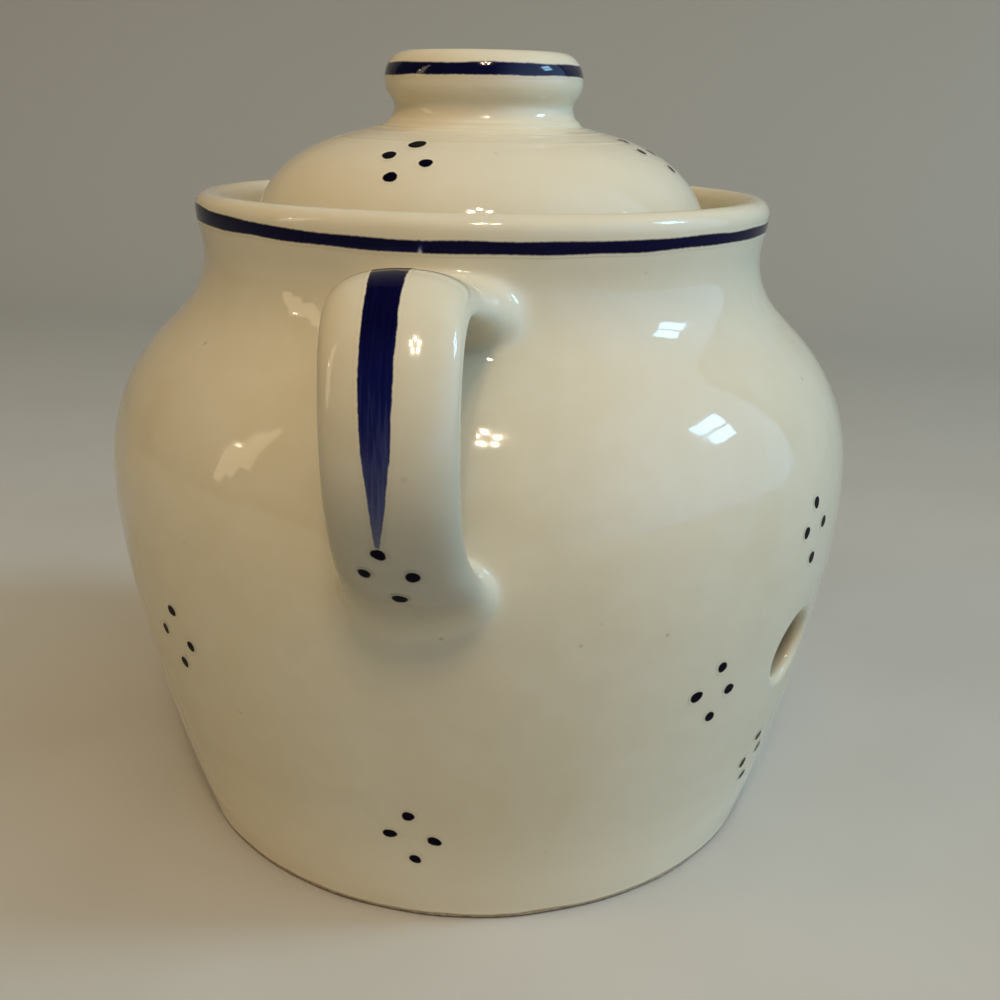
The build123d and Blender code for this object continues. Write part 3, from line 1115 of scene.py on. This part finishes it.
# The paint mirrors less than the glaze beside it, so that it stays dark
band_paint = glaze("cobalt_band", None, cobalt(0.16), specular=0.07)
knob_paint = glaze("cobalt_knob", None, cobalt(0.16), specular=0.4)
stroke_paint = glaze("cobalt_stroke", None, cobalt(0.12), specular=0.09)
dot_paint = glaze("cobalt_dots", None, cobalt(0.14, DOT_DEEP, DOT_DEEP, DOT_EDGE), specular=0.02)


# -------- the keeper

def build_keeper():
    """Every visible piece, on the body that carries it."""
    jar = jar_skin()
    make_piece("jar_body", jar, "jar", jar_glaze, ("jar", "handle"))
    on_jar = jar.tree()
    make_piece("rim_band", rim_band(on_jar), "jar", band_paint)
    make_piece("handle_stroke", handle_stroke(on_jar), "jar", stroke_paint)
    make_piece("handle_dots", handle_dots(on_jar), "jar", dot_paint)
    make_piece("jar_dots", jar_dots(on_jar), "jar", dot_paint)
    lid = lid_skin()
    make_piece("lid_body", lid, "lid", lid_glaze, ("lid", "lid_knob"))
    top_light = lid.tree()
    make_piece("knob_band", knob_band(top_light), "lid", knob_paint)
    make_piece("lid_dots", lid_dots(top_light), "lid", dot_paint)


# -------- studio

FLOOR_COLOUR = srgb(182, 180, 170)
FLOOR_FOLD = srgb(178, 175, 164)
# Painted shade: the greyer cloth far behind, where less light reaches
BACKDROP_PAINTED_SHADE = srgb(160, 157, 146)


def floor_material():
    """Pale matt cloth with a faint uneven tone, painted greyer where it rises behind the keeper, as
    painted shade.
    """
    shader = Shader(bpy.data.materials.new("pale_floor"))
    place = shader.place()
    tone = shader.ramp(shader.noise(place, 45, 2.0), 0.3, 0.7)
    colour = shader.mix(tone, FLOOR_COLOUR, FLOOR_FOLD)
    # Painted shade: darker towards the back, where less lamp light reaches
    behind = shader.ramp(shader.parts(place)[0], 60 * MM, -450 * MM)
    colour = shader.mix(behind, colour, BACKDROP_PAINTED_SHADE)
    weave = shader.relief(shader.times(shader.noise(place, 1.2, 2.0), 0.05), 0.5)
    return shader.finish(Base_Color=colour, Roughness=0.9, Normal=weave)


def build_floor():
    """A sweep of pale cloth that runs up into a backdrop behind the keeper."""
    line = [(900, 0), (-420, 0), *arc((-420, 260), 260, -95, -180, 24), (-680, 1500)]
    mesh = bpy.data.meshes.new("floor")
    points = [(x * MM, y * MM, z * MM) for x, z in line for y in (-1500, 1500)]
    faces = [(2 * i, 2 * i + 1, 2 * i + 3, 2 * i + 2) for i in range(len(line) - 1)]
    mesh.from_pydata(points, [], faces)
    mesh.shade_smooth()
    mesh.materials.append(floor_material())
    add_object("floor", mesh)


LAMP_TARGET = Vector((0, 0, 65)) * MM


def add_lamp(name, azimuth, elevation, distance, size, power, colour, mirrored=True):
    """A soft rectangular lamp that faces the keeper from a direction in degrees, and that
    shows in the glaze as a highlight if mirrored is true."""
    a, e = radians(azimuth), radians(elevation)
    direction = Vector((cos(a) * cos(e), sin(a) * cos(e), sin(e)))
    data = bpy.data.lights.new(name, "AREA")
    data.shape = "RECTANGLE"
    data.size, data.size_y = size[0] * MM, size[1] * MM
    data.energy = power
    data.color = colour
    lamp = add_object(name, data)
    lamp.visible_glossy = mirrored
    lamp.location = LAMP_TARGET + direction * distance * MM
    lamp.rotation_euler = direction.to_track_quat("Z", "Y").to_euler()


# Warm lit places of the room at the left, as (azimuth, elevation, width, height, power)
WARM_PANES = [(-72.3, 15, 95, 480, 0.28), (-68.6, 21, 95, 600, 0.36), (-65.2, 26, 80, 600, 0.30),
              (-71.0, 22, 36, 30, 0.12)]


def build_lights():
    """Four panes of a cool window at the right and its glow, five bulbs high in front,
    softboxes overhead, at the right and at the left, warm and frontal fills, the warm lit
    places, and a dim room that is brighter and cooler towards the window."""
    for row in (-1, 1):
        for column in (-1, 1):
            add_lamp(f"window_{row}_{column}", 91.2 + 3.0 * column, 31.4 + 2.9 * row, 1500,
                     (134, 126), 0.8, (0.38, 0.72, 1.0))
    add_lamp("window_glow", 92, 33, 1500, (290, 280), 5.6, (0.45, 0.78, 1.08), mirrored=False)
    for number in range(5):
        turn = radians(72 * number + 20)
        add_lamp(f"ceiling_bulb_{number}", 9.5 + 6.2 * cos(turn), 54 + 3.6 * sin(turn), 1400,
                 (36, 36), 1.1, (1.0, 0.78, 0.56))
    add_lamp("overhead", 12, 66, 1400, (700, 700), 4.3, (1.0, 0.80, 0.56), mirrored=False)
    add_lamp("right_softbox", 70, 55, 1500, (700, 600), 2.9, (1.0, 0.95, 0.84), mirrored=False)
    add_lamp("left_softbox", -55, 52, 1500, (600, 600), 2.2, (1.0, 0.74, 0.42), mirrored=False)
    add_lamp("warm_fill", -67, 31, 1500, (300, 380), 1.4, (1.0, 0.71, 0.36), mirrored=False)
    for number, (azimuth, elevation, width, height, power) in enumerate(WARM_PANES):
        add_lamp(f"warm_pane_{number}", azimuth, elevation, 1500, (width, height), power,
                 (1.0, 0.80, 0.52))
    add_lamp("front_fill", 5, 6, 1400, (900, 700), 1.4, (1.0, 0.84, 0.66), mirrored=False)
    room = Shader(bpy.data.worlds.new("room"))
    view = room.add("ShaderNodeTexCoord").outputs["Generated"]
    right = room.ramp(room.parts(view)[1], 0.2, 1.0)
    colour = room.mix(right, (0.04, 0.045, 0.04, 1), (0.60, 0.92, 1.42, 1))
    background = room.add("ShaderNodeBackground", {"Color": colour})
    bpy.context.scene.world = room.end("ShaderNodeOutputWorld", background)


# Camera: where it stands, which way it looks, and its lens on a 36 mm sensor
CAMERA_AZIMUTH = 8.0
CAMERA_REACH = 200.52
CAMERA_HEIGHT = 124.75
CAMERA_TURN = -1.07
CAMERA_PITCH = 19.77
CAMERA_ROLL = 1.00
CAMERA_LENS = 40.39


def build_camera():
    """The camera at the photograph's place."""
    stand, look = radians(CAMERA_AZIMUTH), radians(CAMERA_AZIMUTH + 180 + CAMERA_TURN)
    pitch, roll = radians(CAMERA_PITCH), radians(CAMERA_ROLL)
    ahead = Vector((cos(look) * cos(pitch), sin(look) * cos(pitch), -sin(pitch)))
    level = Vector((sin(look), -cos(look), 0))
    above = level.cross(ahead)
    right = cos(roll) * level + sin(roll) * above
    up = -sin(roll) * level + cos(roll) * above
    camera = add_object("camera", bpy.data.cameras.new("camera"))
    camera.data.lens = CAMERA_LENS
    camera.data.sensor_width = 36
    camera.data.clip_start = 0.01
    place = Vector((CAMERA_REACH * cos(stand), CAMERA_REACH * sin(stand), CAMERA_HEIGHT)) * MM
    turned = Matrix((right, up, -ahead)).transposed().to_4x4()
    camera.matrix_world = Matrix.Translation(place) @ turned
    bpy.context.scene.camera = camera


build_keeper()
build_floor()
build_lights()
build_camera()
bpy.context.scene.view_settings.view_transform = "Standard"
